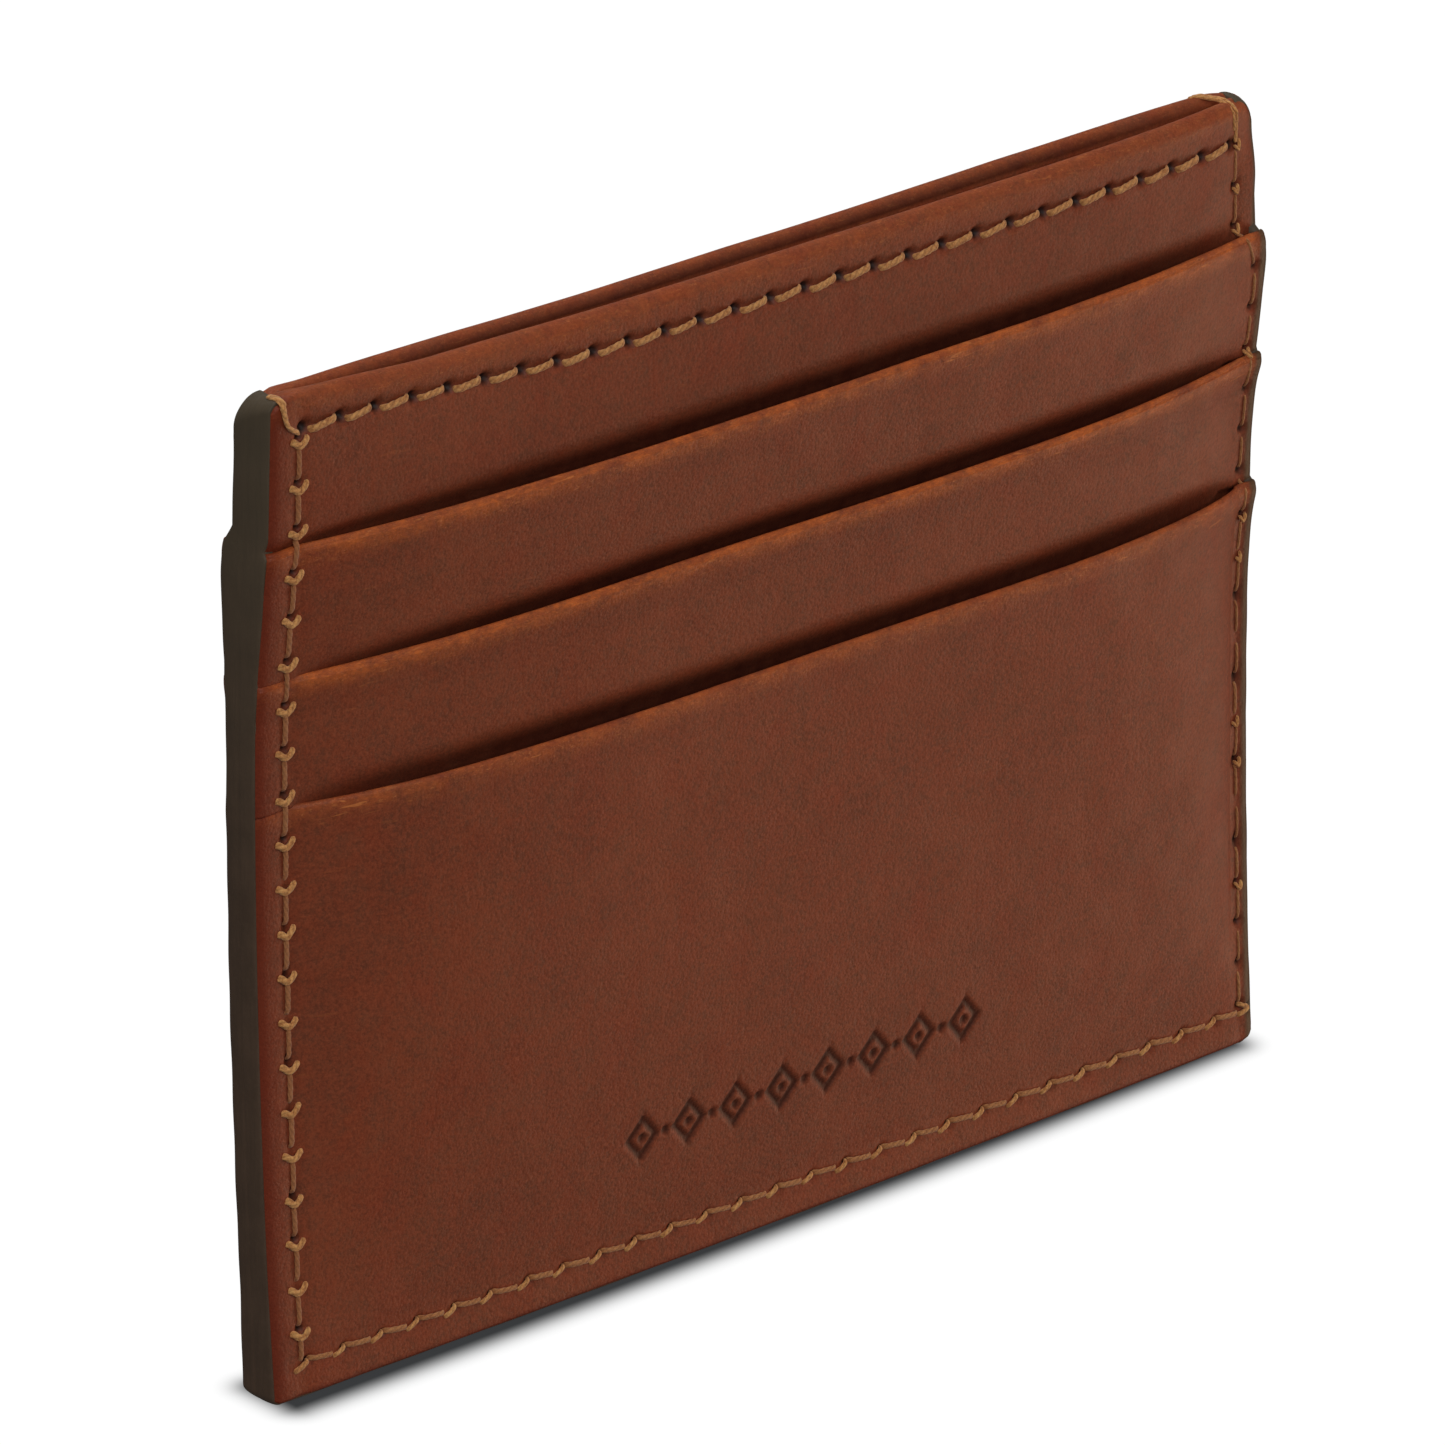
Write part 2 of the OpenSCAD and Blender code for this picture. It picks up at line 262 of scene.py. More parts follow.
def spread(low, high, pitch, seed):
    """Places about one pitch apart, each a little off."""
    count = int(round((high - low) / pitch))
    rng = np.random.default_rng(seed)
    return np.linspace(low, high, count + 1) + rng.uniform(-HOLE_WOBBLE, HOLE_WOBBLE, count + 1)


def pairs(places):
    """Each place with the next one."""
    return zip(places[:-1], places[1:])


TOP_HOLES = spread(LEFT_SEAM + 0.4, RIGHT_SEAM - 1.8, 3.43, 1)
LEFT_HOLES = spread(BOTTOM_SEAM + 2.75, TOP_SEAM + 0.9, 3.55, 2)
RIGHT_HOLES = spread(BOTTOM_SEAM + 0.6, TOP_SEAM - 0.2, 3.41, 3)
BOTTOM_HOLES = spread(LEFT_SEAM, RIGHT_SEAM + 0.3, 3.56, 4)


def pits(x, z, places, radius, depth):
    """How far the needle holes sink the leather."""
    total = np.zeros(np.broadcast(x, z).shape)
    for place_x, place_z in places:
        near_x = np.abs(x - place_x) < 4 * radius
        near_z = np.abs(z - place_z) < 4 * radius
        near = np.broadcast_to(near_x & near_z, total.shape)
        if near.any():
            gap = ((x - place_x) ** 2 + (z - place_z) ** 2) / radius ** 2
            total[near] = np.maximum(total[near], (depth * np.exp(-gap))[near])
    return total


def border_pits(x, z):
    places = [(LEFT_SEAM, hole + 0.1) for hole in LEFT_HOLES]
    places += [(right_seam(hole), hole + 0.1) for hole in RIGHT_HOLES]
    places += [(hole + 0.5, BOTTOM_SEAM + 0.1) for hole in BOTTOM_HOLES]
    return pits(x, z, places, radius=0.36, depth=0.42)


def top_row(x):
    """Height of the top seam, which runs down a little to the right and up at the left."""
    return TOP_SEAM - 0.3 * x / 45 + 1.2 * ramp(-np.asarray(x), 14, 48)


def top_pits(x, z):
    places = [(hole, top_row(hole) + 0.12) for hole in TOP_HOLES]
    return pits(x, z, places, radius=0.46, depth=0.55)


# ---- Ornament: a plain tooled row of lozenges and dots --------------------------------------

ORNAMENT_LOW = -17.0
ORNAMENT_HIGH = 20.4
ORNAMENT_Z = 11.9
ORNAMENT_COUNT = 8
STAMP_DEPTH = 0.22
STAMP_SHADE = 0.72


def ornament(x, z):
    pitch = (ORNAMENT_HIGH - ORNAMENT_LOW) / ORNAMENT_COUNT
    cell = (x - ORNAMENT_LOW) / pitch
    inside = (cell > 0) & (cell < ORNAMENT_COUNT)
    offset = (cell - np.floor(cell) - 0.5) * pitch
    drop = z - ORNAMENT_Z
    ring = np.abs(np.abs(offset) / 1.35 + np.abs(drop) / 1.6 - 1) * 1.05
    centre = np.sqrt(offset ** 2 + drop ** 2) - 0.1
    dot_offset = (cell - np.round(cell)) * pitch
    dot_on = (cell > 0.5) & (cell < ORNAMENT_COUNT - 0.5)
    dot = np.where(dot_on, np.sqrt(dot_offset ** 2 + drop ** 2) - 0.1, 9)
    stroke = np.minimum(np.minimum(ring, centre), dot)
    return np.where(inside, 1 - ramp(stroke, 0.16, 0.42), 0)


# ---- Mesh builders ------------------------------------------------------------------------

def to_object(name, verts, faces, material, fields=None):
    mesh = bpy.data.meshes.new(name)
    mesh.from_pydata((np.asarray(verts) * MM).tolist(), [], faces)
    mesh.update()
    tidy = bmesh.new()
    tidy.from_mesh(mesh)
    bmesh.ops.recalc_face_normals(tidy, faces=tidy.faces)
    tidy.to_mesh(mesh)
    tidy.free()
    mesh.polygons.foreach_set("use_smooth", [True] * len(mesh.polygons))
    for field, values in (fields or {}).items():
        layer = mesh.attributes.new(field, "FLOAT", "POINT")
        layer.data.foreach_set("value", np.asarray(values, np.float32).ravel())
    mesh.materials.append(material)
    piece = bpy.data.objects.new(name, mesh)
    bpy.context.collection.objects.link(piece)
    return piece


def place(piece, node):
    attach(piece, "root")
    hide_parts(node)
    return piece


def loop_skin(name, xs, level, z, side, material, fields=None):
    """A closed sheet: column i is the closed loop level[i], z[i] at xs[i]; the ends are capped."""
    cols, size = level.shape
    x = np.repeat(xs[:, None], size, 1)
    verts = np.stack([spread_out(x, z), mid(x, z) + side * level, z], -1).reshape(-1, 3)
    faces = []
    for col in range(cols - 1):
        first = col * size
        second = first + size
        for row in range(size):
            following = (row + 1) % size
            faces.append((first + row, second + row, second + following, first + following))
    faces.append(tuple(range(size)))
    last = (cols - 1) * size
    faces.append(tuple(last + row for row in reversed(range(size))))
    return to_object(name, verts, faces, material, fields)


def columns(step, fine_from=44.0):
    """Places along X, fine near both ends, with the last ones round the corners."""
    inner = np.arange(0, fine_from, step)
    outer = np.arange(fine_from, EDGE - 0.12, FINE_STEP)
    half = np.concatenate([inner, outer, [EDGE]])
    return np.concatenate([-half[::-1], half[1:]])


def top_drop(x, side):
    """How far the rounded top corner lies below the top, with room for its paint."""
    radius = np.where(x < 0, TOP_R[LEFT, side], TOP_R[RIGHT, side])
    inset = np.where(x < 0, COAT + 0.07 * (side == FRONT), 0.08)
    inner_r = radius - inset
    reach = np.clip(np.abs(x) - (HALF_W - radius), 0, inner_r * 0.985)
    shoulder = inset * ramp(np.abs(x), HALF_W - radius - 1.0, HALF_W - radius)
    return shoulder + inner_r - np.sqrt(inner_r ** 2 - reach ** 2)


def bottom_rise(x):
    radius = np.where(x < 0, BOTTOM_R[LEFT], BOTTOM_R[RIGHT])
    reach = np.clip(np.abs(x) - (HALF_W - radius), 0, radius * 0.95)
    return radius - np.sqrt(radius ** 2 - reach ** 2)


def squeeze(rows, low, high):
    """The rows for every column, stretched between that column's low and high."""
    share = (rows - rows[0]) / (rows[-1] - rows[0])
    return low[:, None] + share[None, :] * (high - low)[:, None]


def leather_sheet(name, xs, rows, low, mouth, side, face, back_of, material, lip, relief):
    """A sheet with a turned edge on top: the outer rows, the round lip and the inner rows."""
    high = mouth - ROUNDING * lip
    z_out = squeeze(rows, low, high)
    x_out = np.repeat(xs[:, None], z_out.shape[1], 1)
    sunk, fields_out = relief(x_out, z_out, mouth[:, None])
    out = face(x_out, z_out, side) - sunk
    top_level = out[:, -1:]
    turn = np.linspace(0, math.pi, 13)[1:-1][None, :]
    power = fold_power(xs)[:, None] if lip == FOLD else 1
    round_y = np.sign(np.cos(turn)) * np.abs(np.cos(turn)) ** power
    lip_level = top_level - lip / 2 + lip / 2 * round_y
    lip_z = z_out[:, -1:] + ROUNDING * lip * np.sin(turn) ** power
    rows_in = rows[::-1]
    if len(rows) > 24:
        rows_in = rows_in[::3]
    z_in = squeeze(rows_in, high, low)
    z_in[:, 0] = high - 0.02
    x_in = np.repeat(xs[:, None], z_in.shape[1], 1)
    blend = ramp(z_in, mouth[:, None] - 3, mouth[:, None] - 0.6)
    thick = back_of(x_in, z_in, side)
    inner = face(x_in, z_in, side) - thick - (lip - thick) * blend
    inner[:, 0] = (top_level - lip)[:, 0]
    level = np.concatenate([out, lip_level, inner], 1)
    z = np.concatenate([z_out, lip_z, z_in], 1)
    standing = swell(xs)[:, None] ** 0.5
    fields = {}
    for field, values in fields_out.items():
        edge_value = np.repeat(values[:, -1:], lip_z.shape[1], 1)
        inner_value = np.repeat(values[:, -1:] * 0.3, z_in.shape[1], 1)
        # Painted shade: the back of the lip and the inside of the pocket are darkened.
        if field == "deep":
            edge_value = edge_value + 0.9 * ramp(turn, 1.7, 2.9) * standing
            inner_value = (z_in < high[:, None] - 0.1).astype(float) * standing
        fields[field] = np.concatenate([values, edge_value, inner_value], 1)
    return loop_skin(name, xs, level, z, side, material, fields)


# ---- Materials ----------------------------------------------------------------------------

def rgb(red, green, blue):
    def linear(value):
        value = value / 255
        return value / 12.92 if value <= 0.04045 else ((value + 0.055) / 1.055) ** 2.4
    return (linear(red), linear(green), linear(blue), 1)


class Nodes:
    """Short calls for building a material's node tree."""

    def __init__(self, name):
        self.material = bpy.data.materials.new(name)
        self.material.use_nodes = True
        self.tree = self.material.node_tree
        self.shader = self.tree.nodes["Principled BSDF"]

    def add(self, kind, **values):
        node = self.tree.nodes.new(kind)
        for key, value in values.items():
            if key.startswith("in_"):
                socket = node.inputs[key[3:].replace("_", " ")]
                self.feed(socket, value)
            else:
                setattr(node, key, value)
        return node

    def feed(self, socket, value):
        if isinstance(value, bpy.types.NodeSocket):
            self.tree.links.new(value, socket)
        else:
            socket.default_value = value

    def coords(self, scale=(1, 1, 1)):
        source = self.add("ShaderNodeTexCoord")
        mapping = self.add("ShaderNodeMapping", in_Vector=source.outputs["Object"])
        mapping.inputs["Scale"].default_value = [1000 * part for part in scale]
        return mapping.outputs["Vector"]

    def noise(self, scale, detail=3.0, roughness=0.5, stretch=(1, 1, 1), distortion=0.0):
        node = self.add("ShaderNodeTexNoise", in_Vector=self.coords(stretch))
        node.inputs["Scale"].default_value = scale
        node.inputs["Detail"].default_value = detail
        node.inputs["Roughness"].default_value = roughness
        node.inputs["Distortion"].default_value = distortion
        return node.outputs["Fac"]

    def cells(self, scale, feature="F1", stretch=(1, 1, 1)):
        node = self.add("ShaderNodeTexVoronoi", feature=feature, in_Vector=self.coords(stretch))
        node.inputs["Scale"].default_value = scale
        return node.outputs["Distance"]

    def math(self, operation, first, second=0.0, clamp=False):
        node = self.add("ShaderNodeMath", operation=operation, use_clamp=clamp)
        for index, value in enumerate((first, second)):
            self.feed(node.inputs[index], value)
        return node.outputs[0]

    def span(self, value, low, high, to_low=0.0, to_high=1.0):
        node = self.add("ShaderNodeMapRange", clamp=True)
        for index, part in enumerate((value, low, high, to_low, to_high)):
            self.feed(node.inputs[index], part)
        return node.outputs[0]

    def mix(self, share, first, second, blend="MIX"):
        node = self.add("ShaderNodeMix", data_type="RGBA", blend_type=blend)
        self.feed(node.inputs["Factor"], share)
        self.feed(node.inputs["A"], first)
        self.feed(node.inputs["B"], second)
        return node.outputs["Result"]

    def tint(self, base, source, low, high, share, colour):
        """The colour covers up to share of the base as the source goes from low to high."""
        return self.mix(self.span(source, low, high, 0, share), base, colour)

    def field(self, name):
        return self.add("ShaderNodeAttribute", attribute_name=name).outputs["Fac"]

    def bump(self, height, distance, strength=1.0, below=None):
        node = self.add("ShaderNodeBump", in_Height=height)
        node.inputs["Distance"].default_value = distance * MM
        node.inputs["Strength"].default_value = strength
        if below is not None:
            self.tree.links.new(below, node.inputs["Normal"])
        return node.outputs["Normal"]

    def finish(self, colour, roughness, normal=None, **sockets):
        self.feed(self.shader.inputs["Base Color"], colour)
        self.feed(self.shader.inputs["Roughness"], roughness)
        if normal is not None:
            self.tree.links.new(normal, self.shader.inputs["Normal"])
        for key, value in sockets.items():
            self.shader.inputs[key.replace("_", " ")].default_value = value
        return self.material


def leather_material():
    n = Nodes("leather")
    mottle = n.noise(0.055, 5, 0.55, (1, 1, 0.7))
    patch = n.noise(0.35, 4, 0.6)
    speck = n.noise(3.0, 3, 0.7)
    streak = n.noise(1.3, 3, 0.6, (2.2, 2.2, 0.28))
    pores = n.cells(3.6)
    scratch_place = n.noise(0.16, 2, 0.5)
    scratch_line = n.noise(1.0, 2, 0.4, (0.5, 0.5, 3.2), 0.6)
    fold = n.field("fold")
    painted_pit_shade = n.field("painted_pit_shade")
    rim = n.field("rim")
    deep = n.field("deep")
    cloud = n.noise(0.75, 5, 0.68)
    grit = n.noise(5.5, 2, 0.8)
    base = n.mix(n.span(mottle, 0.36, 0.64), rgb(138, 69, 43), rgb(148, 78, 50))
    for source, low, high, share, colour in (
            (patch, 0.35, 0.68, 0.45, rgb(128, 76, 52)),
            (n.noise(0.13, 4, 0.6), 0.52, 0.36, 0.4, rgb(112, 60, 42)),
            (n.noise(0.26, 4, 0.6, (1, 1, 0.6)), 0.5, 0.72, 0.5, rgb(148, 58, 34)),
            (cloud, 0.42, 0.72, 0.5, rgb(150, 66, 38)),
            (cloud, 0.5, 0.3, 0.35, rgb(112, 72, 52)),
            (speck, 0.44, 0.66, 0.4, rgb(172, 89, 57)),
            (speck, 0.5, 0.32, 0.3, rgb(104, 52, 33)),
            (grit, 0.5, 0.75, 0.35, rgb(180, 98, 66)),
            (grit, 0.48, 0.25, 0.35, rgb(98, 48, 30)),
            (streak, 0.5, 0.78, 0.1, rgb(106, 58, 42))):
        base = n.tint(base, source, low, high, share, colour)
    wear = n.span(n.noise(0.4, 5, 0.75, (1, 1, 1.6)), 0.34, 0.6)
    broken = n.span(n.noise(2.6, 5, 0.8, (0.6, 1, 1.5)), 0.4, 0.62, 0.45, 1.0)
    wear = n.math("MULTIPLY", wear, broken)
    rubbed = n.math("MULTIPLY", n.math("POWER", fold, 1.5), wear)
    base = n.mix(rubbed, base, rgb(222, 120, 56))
    worn = n.math("MULTIPLY", n.span(scratch_place, 0.48, 0.64), n.span(scratch_line, 0.65, 0.72))
    worn = n.math("MULTIPLY", worn, n.span(fold, 0.0, 0.6, 0.1, 0.8))
    base = n.mix(worn, base, rgb(218, 134, 72))
    fleck = n.span(n.noise(4.2, 4, 0.8, (0.55, 1, 1.5), 0.5), 0.57, 0.68)
    fleck = n.math("MULTIPLY", fleck, n.span(fold, 0.08, 0.6, 0.0, 0.6))
    base = n.mix(fleck, base, rgb(224, 144, 84))
    base = n.mix(n.math("MULTIPLY", rim, 0.75), base, rgb(120, 44, 24))
    # Painted shade: darker in the gaps above the pocket mouths, inside the pockets and on the panel
    # under the top seam.
    groove = n.math("MULTIPLY", deep, n.span(cloud, 0.35, 0.65, 0.82, 1.0), clamp=True)
    base = n.mix(n.math("MULTIPLY", groove, 0.92), base, rgb(56, 22, 15))
    # Painted shade in the needle holes, the stamped marks and along the top stitch row.
    base = n.mix(n.math("MULTIPLY", painted_pit_shade, 0.95, clamp=True), base, rgb(30, 17, 14))
    base = n.mix(1.0, base, (1.0, 0.93, 0.91, 1), "MULTIPLY")
    base = n.mix(n.math("MULTIPLY", n.field("coat"), 0.85), base, rgb(92, 74, 52))
    rough = n.span(patch, 0.3, 0.7, 0.44, 0.54)
    rough = n.math("SUBTRACT", rough, n.math("MULTIPLY", rubbed, 0.08))
    grain = n.math("MULTIPLY", n.math("POWER", pores, 0.6), 0.7)
    grain = n.math("ADD", grain, n.math("MULTIPLY", speck, 0.8))
    grain = n.math("ADD", grain, n.math("MULTIPLY", streak, 0.1))
    normal = n.bump(grain, 0.055, 0.75)
    normal = n.bump(patch, 0.14, 0.45, normal)
    return n.finish(base, rough, normal, Specular_IOR_Level=0.28)


def paint_material():
    n = Nodes("edge_paint")
    cloud = n.noise(0.3, 4, 0.6)
    fine = n.noise(3.0, 3, 0.6)
    long_streak = n.noise(1.6, 3, 0.5, (1, 2.4, 0.12))
    base = n.mix(n.span(cloud, 0.35, 0.65), rgb(86, 68, 54), rgb(96, 76, 61))
    base = n.tint(base, long_streak, 0.45, 0.75, 0.4, rgb(74, 60, 48))
    base = n.tint(base, fine, 0.5, 0.75, 0.3, rgb(106, 86, 68))
    height_mm = n.add("ShaderNodeSeparateXYZ", in_Vector=n.coords()).outputs["Z"]
    base = n.tint(base, height_mm, 40, 78, 0.6, rgb(92, 84, 66))
    rough = n.span(cloud, 0.3, 0.7, 0.5, 0.66)
    height = n.math("ADD", n.math("MULTIPLY", fine, 0.5), long_streak)
    return n.finish(base, rough, n.bump(height, 0.05, 0.5), Specular_IOR_Level=0.35)


def thread_material():
    n = Nodes("thread")
    painted_ply_shade = n.field("painted_ply_shade")
    painted_thread_shade = n.field("painted_thread_shade")
    fibre = n.noise(3.6, 4, 0.75)
    cloud = n.noise(0.9, 3, 0.6)
    base = n.mix(n.span(cloud, 0.35, 0.65), rgb(208, 138, 78), rgb(230, 162, 98))
    base = n.tint(base, fibre, 0.45, 0.66, 0.65, rgb(250, 198, 122))
    # Painted shade: flat stitches lying in the seam groove are made darker and pinker.
    base = n.mix(n.math("MULTIPLY", painted_thread_shade, 0.8), base, rgb(172, 108, 70))
    base = n.tint(base, fibre, 0.48, 0.3, 0.55, rgb(134, 78, 42))
    # Painted shade in the grooves between the plies.
    base = n.mix(n.math("MULTIPLY", painted_ply_shade, 0.4), base, rgb(112, 66, 38))
    normal = n.bump(fibre, 0.1, 0.9)
    return n.finish(base, 0.7, normal, Specular_IOR_Level=0.22, Sheen_Weight=0.2)


def cloth_material(name, warp, weft, thread_size):
    n = Nodes(name)
    pace = 1 / thread_size
    bands = []
    for axis in ("X", "Z"):
        wave = n.add("ShaderNodeTexWave", wave_type="BANDS", bands_direction=axis)
        n.feed(wave.inputs["Vector"], n.coords())
        wave.inputs["Scale"].default_value = pace / 2
        wave.inputs["Distortion"].default_value = 0.4
        bands.append(wave.outputs["Fac"])
    cloud = n.noise(0.2, 4, 0.5)
    base = n.mix(n.math("GREATER_THAN", bands[0], bands[1]), warp, weft)
    base = n.tint(base, cloud, 0.3, 0.7, 0.3, rgb(40, 28, 22))
    height = n.math("MAXIMUM", bands[0], bands[1])
    return n.finish(base, 0.85, n.bump(height, 0.06, 0.7), Specular_IOR_Level=0.2)


def board_material():
    n = Nodes("board")
    fibre = n.noise(0.7, 5, 0.7, (1, 1, 0.3))
    fine = n.noise(3.0, 3, 0.6)
    base = n.mix(n.span(fibre, 0.3, 0.7), rgb(150, 128, 98), rgb(176, 156, 126))
    return n.finish(base, 0.9, n.bump(fine, 0.05, 0.4), Specular_IOR_Level=0.2)


leather = leather_material()
paint = paint_material()
thread = thread_material()
lining_cloth = cloth_material("lining", rgb(120, 84, 60), rgb(100, 68, 48), 0.25)
tail_cloth = cloth_material("tail_cloth", rgb(96, 66, 48), rgb(80, 54, 40), 0.3)
board = board_material()


# ---- Leather pieces -----------------------------------------------------------------------

def turned_relief(seed, crease=0.05, holes=border_pits, stamp=None, following=None, rub=1.0):
    """The relief of a sheet below its turned edge, and what its material reads."""
    def relief(x, z, mouth):
        below = mouth - z
        wobble = waves(x, z, seed, 9) * 0.035 + waves(x, z, seed + 50, 3.2) * 0.012
        line = crease * bell(below - 3.4 - 0.15 * waves(x, z, seed + 9, 12), 0.45)
        puff = 0.08 * bell(below - 0.9, 0.8)
        hole = holes(x, z)
        sunk = wobble + line - puff + hole + seam_valley(x, z) + edge_roll(x, z)
        # Painted shade in the needle holes.
        painted_pit_shade = ramp(hole, 0.08, 0.36)
        rim = 1 - ramp(HALF_W - np.abs(x), 0.25, np.where(x < 0, 2.9, 1.5))
        rim = np.maximum(rim, 0.7 * (1 - ramp(z, 0.25, 0.9)))
        fold = 1 - ramp(below, 0.15, 2.6)
        # Painted shade in the gap just above the mouth of the pocket in front.
        deep = 0 * x
        if following is not None:
            rise = z - mouth_line(following, x)
            reach = 1.45 + 0.25 * waves(x, 0 * x, seed + 3, 7)
            deep = np.sqrt(swell(x)) * (1 - ramp(rise, -0.1, reach))
        if stamp is not None:
            mark = stamp(x, z)
            sunk = sunk + STAMP_DEPTH * mark
            painted_pit_shade = np.maximum(painted_pit_shade, STAMP_SHADE * mark)
        coat_edge = HALF_W - np.abs(x) + 0.35 * ramp(z, UPPER_MOUTH - 1, UPPER_MOUTH + 1)
        coat = (1 - ramp(coat_edge, 0.75, 1.2)) * (x > 0)
        return sunk, {"fold": fold * rub, "painted_pit_shade": painted_pit_shade, "rim": rim, "deep": deep, "coat": coat}
    return relief


# How far a pocket stands proud of the border below its mouth, at the left and at the right.
BUMPS = {("upper", FRONT): (0.0, 0.9), ("middle", FRONT): (0.1, 1.1), ("lower", FRONT): (0.0, 1.2),
         ("upper", REAR): (0.5, 0.9), ("middle", REAR): (0.3, 1.1), ("lower", REAR): (0.15, 1.2)}
# How much the lip of each pocket is rubbed.
RUB = {"upper": 0.95, "middle": 1.0, "lower": 0.72}


def side_bump(x, z, layer, side):
    """A pocket stands proud of the border just below its mouth."""
    below = np.clip(mouth_line(layer, x) - z, 0, None)
    left, right = BUMPS[layer, side]
    shape = (1 - 0.6 * np.exp(-below / 0.7)) * np.exp(-below / 3.0)
    return np.where(x < 0, left, right) * (1 - swell(x)) ** 2 * shape


def strip_low(xs, following):
    """The lower edge of a T-shaped strip: its stem reaches down behind the next pocket."""
    half = STEM_HALF_W + np.where(xs < 0, 1.0, 2.0)
    stem = 1 - ramp(np.abs(xs), half - 0.4, half + 0.6)
    return mouth_line(following, xs) - 0.25 - (STEM_DROP - 0.25) * stem


def pocket_thickness(x, z, side):
    return LEATHER + 0 * x


def build_pocket(half, side, layer, seed):
    name = half + "_pocket_" + layer
    mouth_z = MOUTHS[layer]
    following = NEXT_DOWN[layer]
    lowest = following is None
    xs = columns(FINE_STEP if lowest else 0.8, fine_from=44.0 if lowest else 42.0)
    mouth = mouth_line(layer, xs) + 0.1 * waves(xs, 0 * xs, seed, 30) * swell(xs)

    def face(x, z, which):
        return FACES[layer](x, z, which) + side_bump(x, z, layer, which)

    if lowest:
        rows = np.concatenate([np.arange(BASE, 6.4, FINE_STEP), np.arange(6.6, 9.6, 0.6),
                               np.arange(9.8, 14.2, 0.2), np.arange(14.6, 44.6, 1.0),
                               np.arange(45, mouth_z - 0.5, 0.2), [mouth_z - 0.5]])
        low = BASE + bottom_rise(xs)
    else:
        start = MOUTHS[following] - STEM_DROP
        rows = np.concatenate([np.arange(start, mouth_z - 3.4, 0.35),
                               np.arange(mouth_z - 3.2, mouth_z - 0.5, 0.18), [mouth_z - 0.5]])
        low = strip_low(xs, following)
    stamp = ornament if lowest and half == "front" else None
    relief = turned_relief(seed, stamp=stamp, following=following, rub=RUB[layer])
    piece = leather_sheet(name, xs, rows, low, mouth, side, face, pocket_thickness, leather, LIP,
                          relief)
    return place(piece, name)


def build_panel(half, side, seed):
    name = half + "_panel"
    xs = columns(FINE_STEP)
    last = TOP - 1.2
    rows = np.concatenate([np.arange(BASE, 64, 4.5), np.arange(65, last, FINE_STEP), [last]])
    ripple = 0.06 * waves(xs, 0 * xs, seed, 26) * swell(xs)
    mouth = crest(xs, side) - top_drop(xs, side) - 0.02 + ripple

    def holes(x, z):
        return np.maximum(top_pits(x, z), border_pits(x, z) * (z > UPPER_MOUTH - 1))

    plain = turned_relief(seed, 0, holes, following="upper", rub=0.62)

    def relief(x, z, mouth_z):
        sunk, fields = plain(x, z, mouth_z)
        row = bell(z - top_row(x) - 0.3, 0.45) * (np.abs(x) < 47)
        sunk = sunk + 0.12 * row
        # Painted shade along the top stitch row.
        fields["painted_pit_shade"] = np.maximum(fields["painted_pit_shade"], 0.3 * row)
        # Painted shade: the panel darkens under the top seam, more so towards the upper mouth.
        near_mouth = 1 - ramp(z - UPPER_MOUTH, 0.5, 7.0)
        under_seam = 1 - ramp(z, TOP_SEAM - 1.2, TOP_SEAM + 0.8)
        shade = (0.1 + 0.16 * near_mouth) * under_seam * np.sqrt(swell(x))
        fields["deep"] = np.maximum(fields["deep"], shade)
        return sunk, fields

    piece = leather_sheet(name, xs, rows, BASE + bottom_rise(xs), mouth, side, panel_face,
                          panel_thickness, leather, FOLD, relief)
    return place(piece, name)


# ---- Hidden layers ------------------------------------------------------------------------

def thin_sheet(name, half_w, z_rows, thick, side, centre, material):
    xs = np.linspace(-half_w, half_w, 61)
    x = np.repeat(xs[:, None], len(z_rows), 1)
    z = np.repeat(z_rows[None, :], len(xs), 0)
    level = centre(x, z)
    loop_level = np.concatenate([level + thick / 2, level[:, ::-1] - thick / 2], 1)
    loop_z = np.concatenate([z, z[:, ::-1]], 1)
    return loop_skin(name, xs, loop_level, loop_z, side, material)


def panel_back(x, z, side):
    return panel_face(x, z, side) - panel_thickness(x, z, side)


def build_hidden(half, side):
    rows = np.linspace(0.5, BOARD_HIGH, 41)
    name = half + "_lining"
    piece = thin_sheet(name, EDGE - 0.25, rows, 0.06, side,
                       lambda x, z: 0.3 * panel_back(x, z, side), lining_cloth)
    place(piece, name)
    name = half + "_stiffener"
    piece = thin_sheet(name, 45.6, np.linspace(BOARD_LOW, BOARD_HIGH, 21), 0.3, side,
                       lambda x, z: 0.7 * panel_back(x, z, side), board)
    place(piece, name)
    for layer, base, top, share, flat in (
            ("upper", UPPER_BASE, MIDDLE_MOUTH - STEM_DROP + 1.0, 0.35, (0.0866, 0.0350)),
            ("middle", MIDDLE_BASE, LOWER_MOUTH - STEM_DROP + 1.0, 0.7, (0.0866, 0.0346))):
        def centre(x, z, strip=FACES[layer], share=share, top=top):
            low_level = panel_face(x, z, side)
            cover = lower_face(x, z, side)
            cover = np.where(z > LOWER_MOUTH - 5, np.minimum(cover, middle_face(x, z, side)), cover)
            room = np.maximum(cover - LEATHER - 0.15 - low_level, 0.1)
            joined = ramp(z, top - 9, top - 1)
            sewn = strip(x, z, side) - LEATHER - 0.15
            return (low_level + share * room) * (1 - joined) + sewn * joined

        name = half + "_pocket_tail_" + layer
        rows = np.linspace(base, top, 41)
        piece = thin_sheet(name, TAIL_HALF_W, rows, 0.1, side, centre, tail_cloth)
        place(piece, name)


# ---- Threads ------------------------------------------------------------------------------

